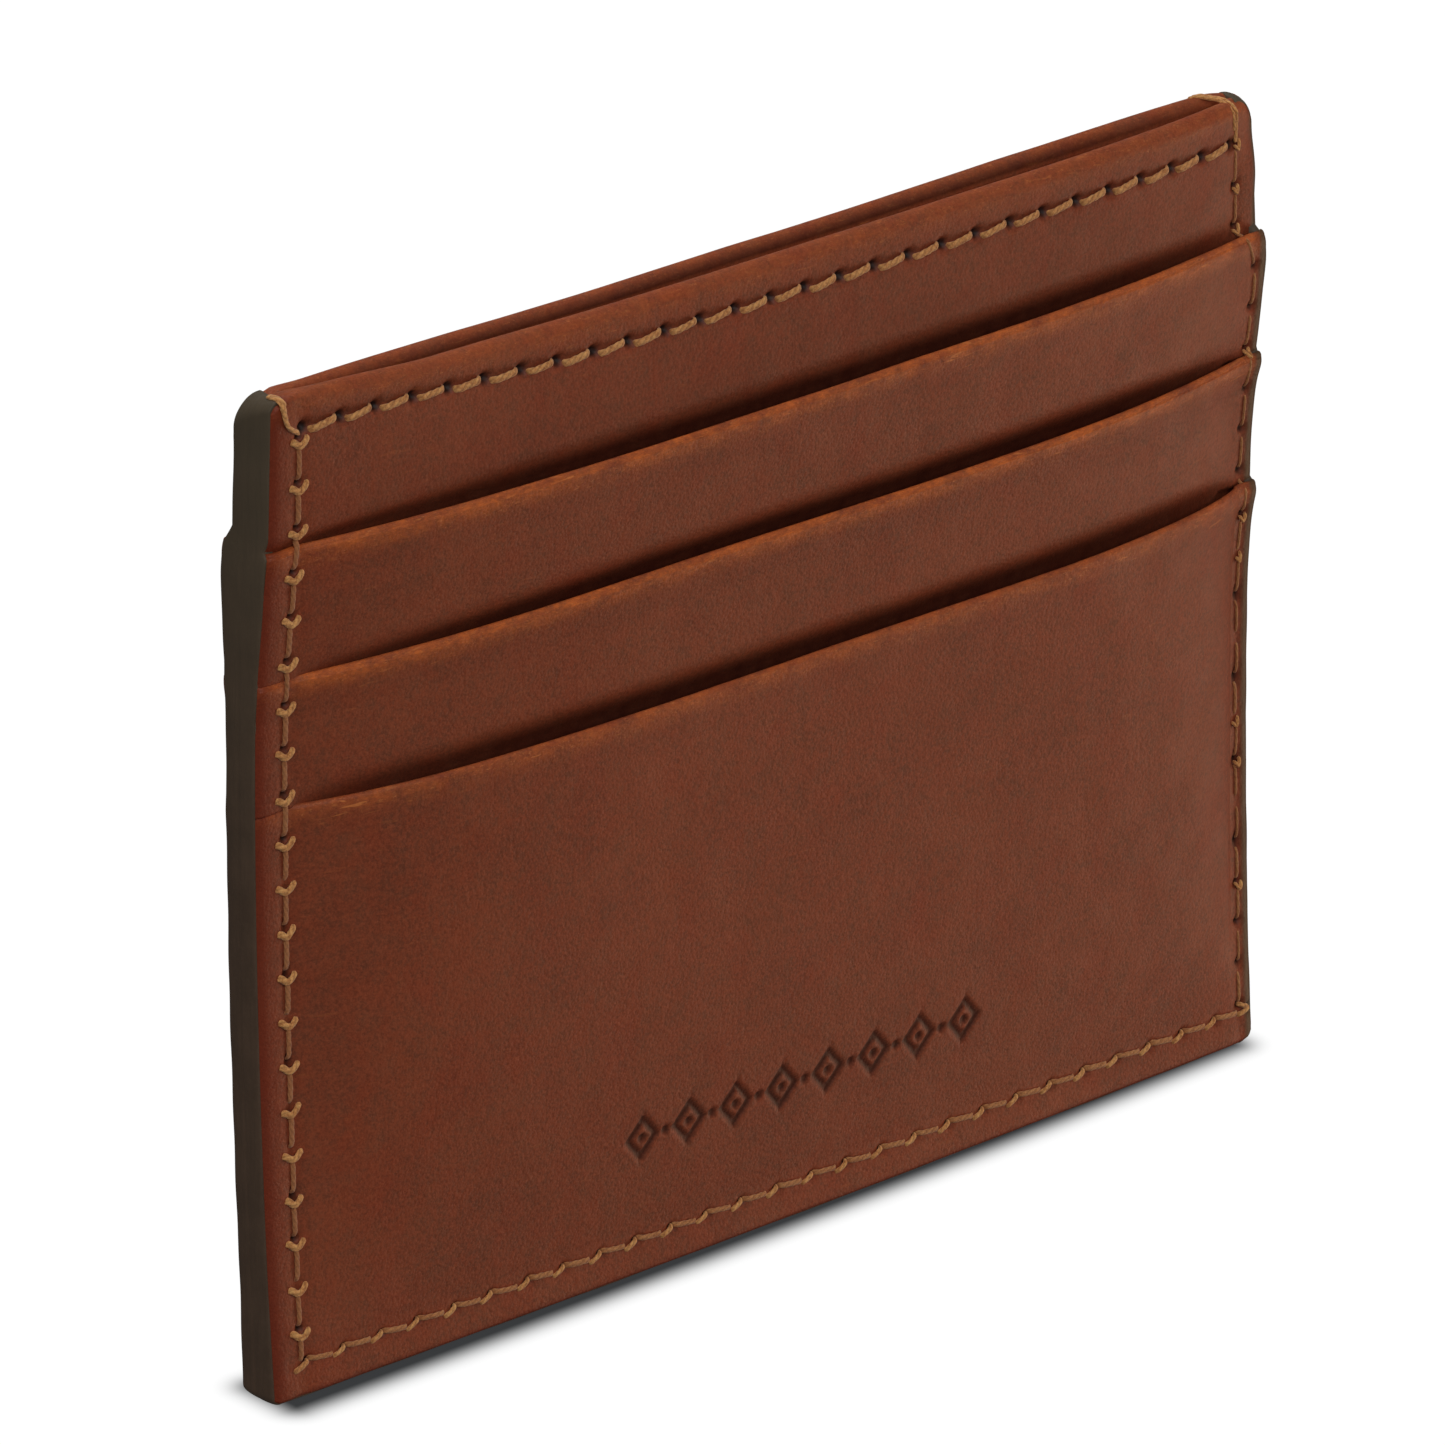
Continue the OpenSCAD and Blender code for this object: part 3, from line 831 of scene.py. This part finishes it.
class Yarn:
    """Twisted threads gathered into one mesh."""
    SIDES = 14
    STEP = 0.11
    PLIES = 3
    TWIST = 3.0
    GROOVE = 0.075
    TAPER = 0.12

    def __init__(self):
        self.verts = []
        self.faces = []
        self.painted_ply_shade = []
        self.painted_thread_shade = []

    def run(self, points, width, depth, out, painted_thread_shade=0.0):
        """One length of thread along a smooth curve through the points."""
        points = np.asarray(points, float)
        before = 2 * points[:1] - points[1:2]
        after = 2 * points[-1:] - points[-2:-1]
        padded = np.concatenate([before, points, after])
        path = []
        for index in range(1, len(padded) - 2):
            a, b, c, d = padded[index - 1:index + 3]
            count = max(2, int(np.linalg.norm(c - b) / self.STEP))
            for t in np.linspace(0, 1, count, endpoint=False):
                path.append(0.5 * (2 * b + (c - a) * t + (2 * a - 5 * b + 4 * c - d) * t ** 2
                                   + (3 * b - a - 3 * c + d) * t ** 3))
        path.append(points[-1])
        path = np.array(path)
        tangent = np.gradient(path, axis=0)
        tangent /= np.linalg.norm(tangent, axis=1)[:, None]
        across = np.cross(tangent, np.broadcast_to(out, tangent.shape))
        across /= np.maximum(np.linalg.norm(across, axis=1), 1e-6)[:, None]
        normal = np.cross(across, tangent)
        walked = np.concatenate([[0], np.cumsum(np.linalg.norm(np.diff(path, axis=0), axis=1))])
        angle = np.linspace(0, 2 * math.pi, self.SIDES, endpoint=False)
        groove = np.cos(self.PLIES * (angle[None, :] - self.TWIST * walked[:, None]))
        reach = 1 + self.GROOVE * groove
        to_end = np.minimum(walked, walked[-1] - walked)
        taper = np.clip(to_end / self.TAPER, 0.45, 1)[:, None, None]
        ring = (across[:, None, :] * (width / 2 * reach * np.cos(angle)[None, :])[:, :, None]
                + normal[:, None, :] * (depth / 2 * reach * np.sin(angle)[None, :])[:, :, None])
        first = len(self.verts)
        self.verts += (path[:, None, :] + ring * taper).reshape(-1, 3).tolist()
        # Painted shade in the grooves between the plies.
        self.painted_ply_shade += np.clip(-groove, 0, 1).ravel().tolist()
        # The painted shade of this thread, the same all along it.
        self.painted_thread_shade += [painted_thread_shade] * (len(path) * self.SIDES)
        for row in range(len(path) - 1):
            for spoke in range(self.SIDES):
                following = (spoke + 1) % self.SIDES
                low = first + row * self.SIDES
                high = low + self.SIDES
                self.faces.append((low + spoke, low + following, high + following, high + spoke))
        self.faces.append(tuple(first + spoke for spoke in range(self.SIDES)))
        last = first + (len(path) - 1) * self.SIDES
        self.faces.append(tuple(last + spoke for spoke in range(self.SIDES)))

    def piece(self, name):
        made = to_object(name, self.verts, self.faces, thread, {"painted_ply_shade": self.painted_ply_shade, "painted_thread_shade": self.painted_thread_shade})
        return place(made, name)


def outer_level(x, z, side):
    """The level of the leather seen at a place."""
    x = np.asarray(float(x))
    z = np.asarray(float(z))
    if z > mouth_line("upper", x):
        return float(panel_face(x, z, side))
    layer = "upper"
    while NEXT_DOWN[layer] and z <= mouth_line(NEXT_DOWN[layer], x):
        layer = NEXT_DOWN[layer]
    return float(FACES[layer](x, z, side) + side_bump(x, z, layer, side))


def on_face(side, x, z, lift):
    """A point that stands lift above the leather."""
    level = outer_level(x, z, side) - float(seam_valley(np.asarray(x), np.asarray(z))) + lift
    return [float(spread_out(x, z)), mid_at(x, z) + side * level, z]


# Flat stitches, each with how much painted shade its thread gets.
LEFT_FLAT = dict(width=0.44, depth=0.26, painted_thread_shade=1.0)
RIGHT_FLAT = dict(width=0.25, depth=0.24, painted_thread_shade=0.8, sink=0.05)
BOTTOM_FLAT = dict(width=0.46, depth=0.26, painted_thread_shade=0.75)
BOTTOM_LOOP = dict(width=0.4, depth=0.32, painted_thread_shade=0.0)


def dash(yarn, side, start, end, rng, width=0.57, depth=0.32, painted_thread_shade=0.2, sink=0.0):
    """One straight stitch that dips into its holes."""
    (x0, z0), (x1, z1) = start, end
    lift = 0.07 - sink + rng.uniform(-0.02, 0.02)
    shares = [0, 0.12, 0.35, 0.65, 0.88, 1]
    lifts = [-0.3, lift - 0.06, lift, lift, lift - 0.06, -0.3]
    bend = rng.uniform(-0.05, 0.05)
    points = []
    for share, height in zip(shares, lifts):
        x = x0 + (x1 - x0) * share
        z = z0 + (z1 - z0) * share + bend * math.sin(math.pi * share)
        points.append(on_face(side, x, z, height))
    yarn.run(points, width + rng.uniform(-0.04, 0.04), depth, (0, side, 0), painted_thread_shade)


def build_top_seam(half, side, seed):
    yarn = Yarn()
    rng = np.random.default_rng(seed)
    for left, right in pairs(TOP_HOLES):
        low = top_row(left) - 0.2 + rng.uniform(-0.04, 0.04)
        high = top_row(right) + 0.24 + rng.uniform(-0.04, 0.04)
        dash(yarn, side, (left + 0.5, low), (right - 0.44, high), rng)
    return yarn.piece(half + "_top_seam")


def knot(yarn, side, x, z, rng, reach, width):
    """The V where the thread below is pulled up to a hole."""
    reach += rng.uniform(-0.06, 0.08)
    tilt = rng.uniform(-0.08, 0.2)
    points = [on_face(side, x - reach, z + 0.28 - tilt, -0.1),
              on_face(side, x - reach * 0.62, z + 0.08 - tilt / 2, 0.12),
              on_face(side, x, z - 0.24, 0.22),
              on_face(side, x + reach * 0.62, z + 0.08 + tilt / 2, 0.12),
              on_face(side, x + reach, z + 0.32 + tilt, -0.1)]
    yarn.run(points, width, 0.34, (0, side, 0), 0.0)


def build_front_perimeter():
    side = FRONT
    yarn = Yarn()
    rng = np.random.default_rng(31)

    def right_x(z):
        return float(right_seam(z)) + rng.uniform(-0.12, 0.12)

    for hole in LEFT_HOLES:
        knot(yarn, side, LEFT_SEAM, hole - 0.35, rng, reach=0.84, width=0.54)
    for low, high in pairs(LEFT_HOLES):
        x0 = LEFT_SEAM + rng.uniform(-0.06, 0.08)
        dash(yarn, side, (x0, high - 0.6), (LEFT_SEAM, low + 0.25), rng, **LEFT_FLAT)
    lowest = (LEFT_SEAM, LEFT_HOLES[0] - 0.6)
    dash(yarn, side, lowest, (LEFT_SEAM, BOTTOM_SEAM + 0.1), rng, **LEFT_FLAT)
    for hole in RIGHT_HOLES:
        if rng.uniform() < 0.5 or hole > UPPER_MOUTH:
            knot(yarn, side, right_x(hole), hole - 0.35, rng, reach=0.26, width=0.27)
    for low, high in pairs(RIGHT_HOLES):
        top_x = right_x(high)
        low_x = right_x(low)
        dash(yarn, side, (top_x, high - 0.5), (low_x, low + 0.2), rng, **RIGHT_FLAT)
    for left, right in pairs(BOTTOM_HOLES):
        flat_low = BOTTOM_SEAM - 0.02 + rng.uniform(-0.05, 0.05)
        flat_high = BOTTOM_SEAM + 0.22 + rng.uniform(-0.05, 0.05)
        dash(yarn, side, (left + 0.65, flat_high), (right - 0.5, flat_low), rng, **BOTTOM_FLAT)
        low = (right - 0.62, BOTTOM_SEAM - 0.34 + rng.uniform(-0.05, 0.05))
        dash(yarn, side, low, (right + 0.55, BOTTOM_SEAM + 0.2), rng, **BOTTOM_LOOP)
    first = BOTTOM_HOLES[0]
    dash(yarn, side, (first - 0.75, BOTTOM_SEAM - 0.55), (first + 0.6, BOTTOM_SEAM + 0.02), rng,
         width=0.44, depth=0.36)
    dash(yarn, side, (RIGHT_SEAM - 0.1, RIGHT_HOLES[0] + 0.1),
         (RIGHT_SEAM + 0.7, BOTTOM_SEAM + 0.3), rng, width=0.36, depth=0.3)
    wrap_corners(yarn)
    return yarn.piece("front_perimeter_seam")


# The thread over the right corner: x, distance from the middle surface, and height over the top.
RIGHT_WRAP = ((45.5, 1.5, -0.1), (46.1, 1.1, 0.02), (46.5, 0.35, 0.0),
              (46.9, -0.75, -0.02), (47.1, -1.75, -0.55))


def wrap_corners(yarn):
    """The seam's thread goes over the top edge at both corners."""
    for shift, end_z, width in ((0.0, TOP_SEAM - 0.2, 0.36), (-0.36, TOP_SEAM + 0.9, 0.26)):
        points = [[x + shift, mid_at(x, TOP) + y, TOP + rise] for x, y, rise in RIGHT_WRAP]
        points += [on_face(FRONT, 47.3 + shift, TOP_SEAM + 1.6, 0.08),
                   on_face(FRONT, 47.4 + shift, end_z, -0.05)]
        yarn.run(points, width, 0.3, (0, -0.4, 1))
    corner = mid_at(-48.9, TOP) - outer_level(-48.9, TOP - 0.6, FRONT)
    high = float(crest(-48.9, FRONT))
    points = [[-48.95, corner + 1.4, high - 0.12],
              [-48.9, corner + 0.6, high - 0.04],
              [-48.85, corner - 0.04, high - 0.25],
              on_face(FRONT, -48.75, high - 0.9, 0.14),
              on_face(FRONT, -48.3, high - 2.2, 0.12),
              on_face(FRONT, LEFT_SEAM - 0.1, TOP_SEAM + 1.3, -0.02)]
    yarn.run(points, 0.62, 0.36, (0, -0.4, 1))


def build_rear_perimeter():
    side = REAR
    yarn = Yarn()
    rng = np.random.default_rng(41)
    lean = 0.16
    for low, high in pairs(LEFT_HOLES):
        dash(yarn, side, (LEFT_SEAM - lean, high - 0.32), (LEFT_SEAM + lean, low + 0.4), rng)
    for low, high in pairs(RIGHT_HOLES):
        top_x = float(right_seam(high)) - lean
        low_x = float(right_seam(low)) + lean
        dash(yarn, side, (top_x, high - 0.32), (low_x, low + 0.4), rng)
    for left, right in pairs(BOTTOM_HOLES):
        dash(yarn, side, (left + 0.85, BOTTOM_SEAM - 0.1), (right + 0.18, BOTTOM_SEAM + 0.25), rng)
    return yarn.piece("rear_perimeter_seam")


def build_base_seam(half, side, layer, base, share, seed):
    """Hidden stitches that hold a tail's lower edge to the panel."""
    yarn = Yarn()
    places = spread(2 - STEM_HALF_W, STEM_HALF_W - 2, 3.4, seed)
    z = base + 0.6
    for left, right in pairs(places):
        points = []
        for place_share in (0.14, 0.3, 0.7, 0.86):
            x = left + (right - left) * place_share
            x_value = np.asarray(float(x))
            z_value = np.asarray(float(z))
            low_level = float(panel_face(x_value, z_value, side))
            room = float(lower_face(x_value, z_value, side)) - LEATHER - low_level
            points.append([x, mid_at(x, z) + side * (low_level + share * room + 0.14), z])
        yarn.run(points, 0.34, 0.14, (0, side, 0), 0.5)
    return yarn.piece(half + "_base_seam_" + layer)


# ---- Edge paint ---------------------------------------------------------------------------

def rim_level(x, z, side):
    """The outer level at the cut edge, with soft shoulders at the mouths."""
    level = 0
    offsets = (-0.1, 0.1, 0.3) if side == FRONT else (-0.9, -0.6, -0.3, 0, 0.3)
    for offset in offsets:
        level += outer_level(x, z + offset, side) / len(offsets)
    start = float(crest(x, side)) - FOLD_RISE + 0.1
    turned = np.clip((z - start) / FOLD_RISE, 0, 0.98 if x > 0 else 0.88)
    power = 2 / float(fold_power(x))
    return level - FOLD / 2 * (1 - (1 - turned ** power) ** (1 / power))


BEAD_INSET = 0.2
SKIRT = 0.7


def bead(name, front_path, rear_path, dome_size=0.3):
    """A domed coat of paint between two outlines of (x, z, outward x, outward z)."""
    turn = np.linspace(-math.pi / 2, math.pi / 2, 35)
    spans = np.sin(turn)
    domes = dome_size * np.abs(np.cos(turn)) ** 0.55
    verts = []
    for order, pair in enumerate(zip(front_path, rear_path)):
        first, second = np.array(pair)
        front = rim_level(first[0], first[1], FRONT) - BEAD_INSET
        rear = rim_level(second[0], second[1], REAR) - BEAD_INSET
        wobble = 0.02 * math.sin(order * 0.31) + 0.015 * math.sin(order * 0.113 + 1)
        ring = [(-1.0, -SKIRT)]
        ring += [(span, dome * (1 + wobble) - 0.02 + wobble) for span, dome in zip(spans, domes)]
        ring.append((1.0, -SKIRT))
        for span, depth in ring:
            depth -= 0.035 * math.exp(-(span / 0.045) ** 2)
            x, z, out_x, out_z = first + (second - first) * (span + 1) / 2
            y = mid_at(x, z) + (span * front if span < 0 else span * rear)
            verts.append((float(spread_out(x, z)) + out_x * depth, y, z + out_z * depth))
    size = len(spans) + 2
    faces = []
    for order in range(len(front_path) - 1):
        low = order * size
        high = low + size
        for index in range(size):
            following = (index + 1) % size
            faces.append((low + index, high + index, high + following, low + following))
    faces.append(tuple(range(size)))
    last = (len(front_path) - 1) * size
    faces.append(tuple(last + index for index in range(size)))
    return place(to_object(name, verts, faces, paint), name)


def arc(sign, radius, centre_z, low, high, count):
    """Points on a rounded corner of the leather, as wide as the holder."""
    centre_x = HALF_W - radius
    inner_r = radius - COAT
    points = []
    for angle in np.linspace(low, high, count):
        out_x = math.cos(angle)
        out_z = math.sin(angle)
        points.append((sign * (centre_x + inner_r * out_x), centre_z + inner_r * out_z,
                       sign * out_x, out_z))
    return points


def side_path(sign, side):
    """Up the side from the bottom corner and round the top corner."""
    top_r = TOP_R[sign, side]
    base_r = BOTTOM_R[sign]
    top = float(crest(sign * HALF_W, side))
    path = arc(sign, base_r, base_r, 0.05 - math.pi / 2, 0, 12)
    path += [(sign * EDGE, z, sign, 0) for z in np.linspace(base_r + 0.2, top - top_r - 0.2, 255)]
    return path + arc(sign, top_r, top - top_r, 0, math.pi / 2, 26)


def bottom_path():
    places = np.linspace(BOTTOM_R[LEFT] - HALF_W, HALF_W - BOTTOM_R[RIGHT], 201)
    return [(x, BASE, 0, -1) for x in places]


# ---- Everything in place --------------------------------------------------------------------

SEEDS = {"front": 100, "rear": 200}
for half, side in (("front", FRONT), ("rear", REAR)):
    seed = SEEDS[half]
    build_panel(half, side, seed)
    for number, layer in enumerate(("upper", "middle", "lower")):
        build_pocket(half, side, layer, seed + 1 + number)
    build_hidden(half, side)
    build_top_seam(half, side, seed + 11)
    build_base_seam(half, side, "upper", UPPER_BASE, 0.35, seed + 12)
    build_base_seam(half, side, "middle", MIDDLE_BASE, 0.7, seed + 13)
build_front_perimeter()
build_rear_perimeter()
bead("edge_paint_left", side_path(LEFT, FRONT), side_path(LEFT, REAR))
bead("edge_paint_right", side_path(RIGHT, FRONT), side_path(RIGHT, REAR), 0.22)
bead("edge_paint_bottom", bottom_path(), bottom_path())


# ---- Stage --------------------------------------------------------------------------------

# The shade on the floor, in millimetres: how far the foot reaches from the middle line, how much
# less it does so to the right, its bow, and the start, width and power of the fade outside it.
FOOT_REACH = 1.88
FOOT_SLANT = 0.007
FOOT_BOW = 0.6
FOOT_HALF_W = HALF_W - 1.5
SHADE_START = 0.65
SHADE_WIDTH = 2.5
SHADE_POWER = 2.7


def build_floor():
    """A white light table: it glows, with a painted shadow only along the foot of the holder."""
    bpy.ops.mesh.primitive_plane_add(size=30)
    floor = bpy.context.object
    floor.name = "floor"
    n = Nodes("floor")
    parts = n.add("ShaderNodeSeparateXYZ", in_Vector=n.coords())
    along = parts.outputs["X"]
    bow = n.math("SUBTRACT", 1, n.math("POWER", n.math("DIVIDE", along, HALF_W), 2))
    bow = n.math("MULTIPLY", bow, FOOT_BOW)
    across = n.math("ABSOLUTE", n.math("ADD", parts.outputs["Y"], bow))
    reach = n.math("SUBTRACT", FOOT_REACH, n.math("MULTIPLY", along, FOOT_SLANT))
    gap_x = n.math("MAXIMUM", n.math("SUBTRACT", n.math("ABSOLUTE", along), FOOT_HALF_W), 0)
    gap_y = n.math("MAXIMUM", n.math("SUBTRACT", across, reach), 0)
    gap = n.math("SQRT", n.math("ADD", n.math("POWER", gap_x, 2), n.math("POWER", gap_y, 2)))
    share = n.math("DIVIDE", n.math("ADD", gap, SHADE_START), SHADE_WIDTH)
    share = n.math("POWER", share, SHADE_POWER)
    light = n.math("SUBTRACT", 1, n.math("EXPONENT", n.math("MULTIPLY", share, -1)))
    colour = n.mix(light, (0.012, 0.014, 0.016, 1), (1, 1, 1, 1))
    n.feed(n.shader.inputs["Emission Color"], colour)
    n.shader.inputs["Emission Strength"].default_value = 1.02
    floor.data.materials.append(n.finish((0.006, 0.006, 0.006, 1), 0.9, Specular_IOR_Level=0.0))
    floor.visible_glossy = False
    floor.visible_diffuse = False
    floor.visible_shadow = False


CENTRE = (0, 0, 0.04)


def area_light(name, at, size, power, glossy=True, colour=(1.0, 1.0, 1.0)):
    """A soft box, in metres and watts, that points at the middle of the holder."""
    data = bpy.data.lights.new(name, "AREA")
    data.shape = "RECTANGLE"
    data.size, data.size_y = size
    data.energy = power
    data.color = colour
    lamp = bpy.data.objects.new(name, data)
    lamp.location = at
    aim = Vector(CENTRE) - Vector(at)
    lamp.rotation_euler = aim.to_track_quat("-Z", "Y").to_euler()
    lamp.visible_camera = False
    lamp.visible_glossy = glossy
    bpy.context.collection.objects.link(lamp)


def build_world():
    """White where the camera sees it, and a faint even light for everything else."""
    world = bpy.data.worlds.new("studio")
    bpy.context.scene.world = world
    world.use_nodes = True
    nodes = world.node_tree.nodes
    links = world.node_tree.links
    backdrop = nodes["Background"]
    backdrop.inputs["Color"].default_value = (1, 1, 1, 1)
    backdrop.inputs["Strength"].default_value = 1.0
    ambient = nodes.new("ShaderNodeBackground")
    ambient.inputs["Color"].default_value = (1.0, 1.0, 1.0, 1)
    ambient.inputs["Strength"].default_value = 0.08
    path = nodes.new("ShaderNodeLightPath")
    choose = nodes.new("ShaderNodeMixShader")
    links.new(path.outputs["Is Camera Ray"], choose.inputs[0])
    links.new(ambient.outputs[0], choose.inputs[1])
    links.new(backdrop.outputs[0], choose.inputs[2])
    links.new(choose.outputs[0], nodes["World Output"].inputs["Surface"])


CAMERA_PLACE = (-623.4, -697.0, 441.7)
CAMERA_DOWN = 23.193
CAMERA_TURN = -41.63
CAMERA_LENS = 334.2


def build_camera():
    data = bpy.data.cameras.new("camera")
    data.lens = CAMERA_LENS
    data.sensor_width = 36.0
    data.clip_end = 50
    camera = bpy.data.objects.new("camera", data)
    camera.location = Vector(CAMERA_PLACE) * MM
    camera.rotation_euler = Euler((math.radians(90 - CAMERA_DOWN), 0, math.radians(CAMERA_TURN)))
    bpy.context.collection.objects.link(camera)
    bpy.context.scene.camera = camera


build_floor()
build_world()
area_light("top", (0.0, 0.0, 1.1), (0.6, 0.6), 2.2)
area_light("front", (-0.35, -1.0, 0.75), (0.7, 0.7), 4.35)
area_light("right", (1.0, -0.45, 0.25), (0.35, 0.6), 2.4, glossy=False)
area_light("bounce", (0.52, -0.26, -0.2), (0.35, 0.35), 0.8, colour=(1.0, 0.72, 0.5))
area_light("left", (-1.0, -0.1, 0.4), (0.6, 0.6), 2.0, glossy=False)
area_light("rear", (0.35, 1.0, 0.75), (0.7, 0.7), 6.5, glossy=False)
build_camera()
scene = bpy.context.scene
scene.view_settings.view_transform = "Standard"
scene.view_settings.look = "None"
